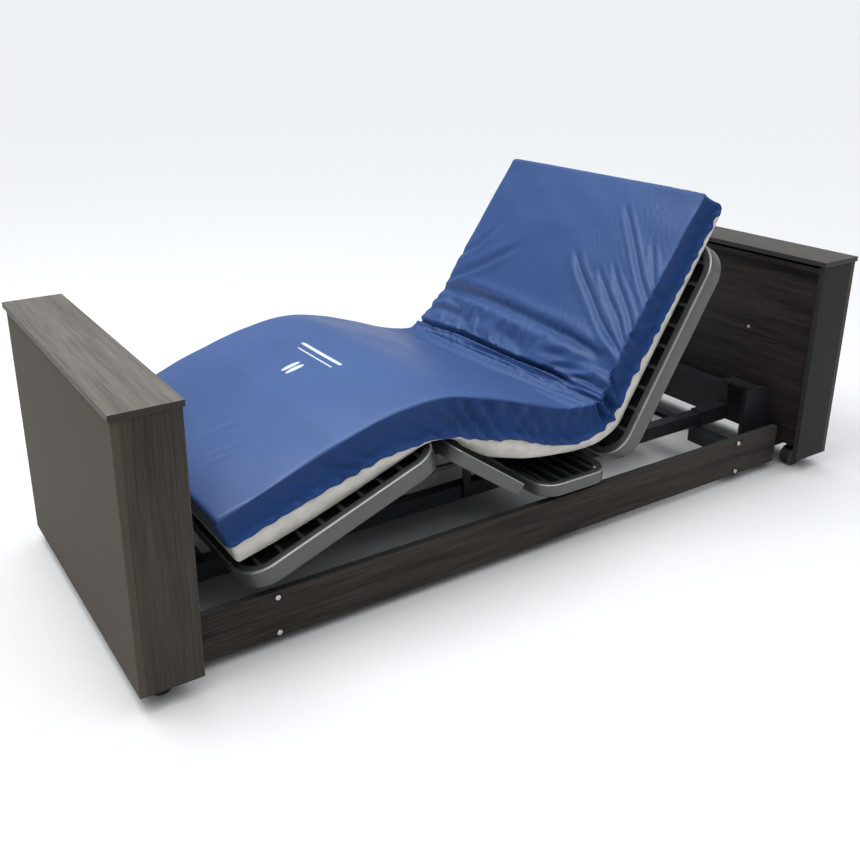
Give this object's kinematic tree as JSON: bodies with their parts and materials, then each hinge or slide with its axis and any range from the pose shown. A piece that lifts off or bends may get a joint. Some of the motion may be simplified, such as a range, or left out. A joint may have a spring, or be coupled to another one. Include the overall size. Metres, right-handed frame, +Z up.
{
  "type": "adjustable hospital bed",
  "caption": "Home-care bed with wood-grain end boxes and side rails, a lifting steel deck with raising back, thigh and calf sections, and a blue foam mattress.",
  "frame": {"origin": "on the floor, midway along and across the bed", "axes": "+X towards the head end, +Y across the bed towards the side furthest from the picture's camera, +Z up"},
  "size_m": [2.557, 1.01, 1.0353],
  "materials": {
    "box_laminate": "satin",
    "rail_wood": "satin",
    "charcoal_paint": "satin",
    "loop_grey": "satin",
    "zinc": "satin",
    "mattress_cover": "satin",
    "caster_rubber": "matte",
    "black_plastic": "satin"
  },
  "bodies": {
    "root": {"foot_base_frame": "charcoal_paint", "foot_far_column_housing": "charcoal_paint", "foot_far_side_board": "box_laminate", "foot_inner_board": "box_laminate", "foot_near_column_housing": "charcoal_paint", "foot_near_side_board": "box_laminate", "foot_outer_board": "box_laminate", "foot_top_plate": "box_laminate", "head_base_frame": "charcoal_paint", "head_cornice": "box_laminate", "head_far_column_housing": "charcoal_paint", "head_far_side_board": "box_laminate", "head_inner_board": "box_laminate", "head_near_column_housing": "charcoal_paint", "head_near_side_board": "box_laminate", "head_outer_board": "box_laminate", "head_top_plate": "box_laminate", "rail_bolt_foot_far_high": "zinc", "rail_bolt_foot_far_low": "zinc", "rail_bolt_foot_near_high": "zinc", "rail_bolt_foot_near_low": "zinc", "rail_bolt_head_far_high": "zinc", "rail_bolt_head_far_low": "zinc", "rail_bolt_head_near_high": "zinc", "rail_bolt_head_near_low": "zinc", "side_rail_far": "rail_wood", "side_rail_near": "rail_wood"},
    "column_mid": {"foot_far_column_mid": "charcoal_paint", "foot_near_column_mid": "charcoal_paint", "head_far_column_mid": "charcoal_paint", "head_near_column_mid": "charcoal_paint"},
    "deck": {"deck_frame": "charcoal_paint", "seat_frame": "loop_grey", "foot_carriage": "charcoal_paint", "head_carriage": "charcoal_paint", "back_hinge_shaft": "zinc", "thigh_hinge_shaft": "zinc", "back_actuator": "black_plastic", "knee_actuator": "black_plastic", "control_box": "black_plastic", "mattress_seat": "mattress_cover"},
    "thigh": {"thigh_frame": "loop_grey", "knee_hinge_shaft": "zinc", "mattress_thigh": "mattress_cover"},
    "calf": {"calf_frame": "loop_grey", "calf_stop_near": "black_plastic", "calf_stop_far": "black_plastic", "mattress_calf": "mattress_cover"},
    "back": {"back_frame": "loop_grey", "mattress_back": "mattress_cover"},
    "back_rod": {"back_actuator_rod": "zinc"},
    "knee_rod": {"knee_actuator_rod": "zinc"},
    "caster_foot_near_swivel": {"caster_foot_near_housing": "black_plastic"},
    "caster_foot_near_roll": {"caster_foot_near_wheel": "caster_rubber"},
    "caster_foot_far_swivel": {"caster_foot_far_housing": "black_plastic"},
    "caster_foot_far_roll": {"caster_foot_far_wheel": "caster_rubber"},
    "caster_head_near_swivel": {"caster_head_near_housing": "black_plastic"},
    "caster_head_near_roll": {"caster_head_near_wheel": "caster_rubber"},
    "caster_head_far_swivel": {"caster_head_far_housing": "black_plastic"},
    "caster_head_far_roll": {"caster_head_far_wheel": "caster_rubber"}
  },
  "joints": [
    {"name": "hi_lo", "type": "slide", "parent": "root", "child": "deck", "axis": [0, 0, 1], "range_m": [0, 0.35]},
    {"name": "column_slide", "type": "slide", "parent": "root", "child": "column_mid", "axis": [0, 0, 1], "range_m": [0, 0.176]},
    {"name": "back_hinge", "type": "hinge", "parent": "deck", "child": "back", "pos_m": [0.2988, 0, 0.2765], "axis": [0, -1, 0], "range_deg": [-59.4, 2.6]},
    {"name": "thigh_hinge", "type": "hinge", "parent": "deck", "child": "thigh", "pos_m": [-0.1315, 0, 0.271], "axis": [0, 1, 0], "range_deg": [-35.4, 1]},
    {"name": "knee_hinge", "type": "hinge", "parent": "thigh", "child": "calf", "pos_m": [-0.36789, 0, 0.43899], "axis": [0, -1, 0], "range_deg": [-56.1, 1.7]},
    {"name": "back_rod_slide", "type": "slide", "parent": "deck", "child": "back_rod", "axis": [1, 0, 0], "range_m": [-0.103, 0.005]},
    {"name": "knee_rod_slide", "type": "slide", "parent": "deck", "child": "knee_rod", "axis": [-1, 0, 0], "range_m": [-0.0625, 0.0025]},
    {"name": "caster_foot_near_turn", "type": "hinge", "parent": "root", "child": "caster_foot_near_swivel", "pos_m": [-1.19, -0.43, 0.06], "axis": [0, 0, 1], "continuous": true},
    {"name": "caster_foot_near_spin", "type": "hinge", "parent": "caster_foot_near_swivel", "child": "caster_foot_near_roll", "pos_m": [-1.204, -0.43, 0.034], "axis": [0, 1, 0], "continuous": true},
    {"name": "caster_foot_far_turn", "type": "hinge", "parent": "root", "child": "caster_foot_far_swivel", "pos_m": [-1.19, 0.43, 0.06], "axis": [0, 0, 1], "continuous": true},
    {"name": "caster_foot_far_spin", "type": "hinge", "parent": "caster_foot_far_swivel", "child": "caster_foot_far_roll", "pos_m": [-1.204, 0.43, 0.034], "axis": [0, 1, 0], "continuous": true},
    {"name": "caster_head_near_turn", "type": "hinge", "parent": "root", "child": "caster_head_near_swivel", "pos_m": [1.19, -0.43, 0.06], "axis": [0, 0, 1], "continuous": true},
    {"name": "caster_head_near_spin", "type": "hinge", "parent": "caster_head_near_swivel", "child": "caster_head_near_roll", "pos_m": [1.176, -0.43, 0.034], "axis": [0, 1, 0], "continuous": true},
    {"name": "caster_head_far_turn", "type": "hinge", "parent": "root", "child": "caster_head_far_swivel", "pos_m": [1.19, 0.43, 0.06], "axis": [0, 0, 1], "continuous": true},
    {"name": "caster_head_far_spin", "type": "hinge", "parent": "caster_head_far_swivel", "child": "caster_head_far_roll", "pos_m": [1.176, 0.43, 0.034], "axis": [0, 1, 0], "continuous": true}
  ],
  "couplings": [
    {"joint": "column_slide", "follows": "hi_lo", "ratio": 0.5},
    {"joint": "knee_hinge", "follows": "thigh_hinge", "ratio": 1.5819},
    {"joint": "back_rod_slide", "follows": "back_hinge", "m_per_rad": 0.0982},
    {"joint": "knee_rod_slide", "follows": "thigh_hinge", "m_per_rad": 0.0994}
  ]
}
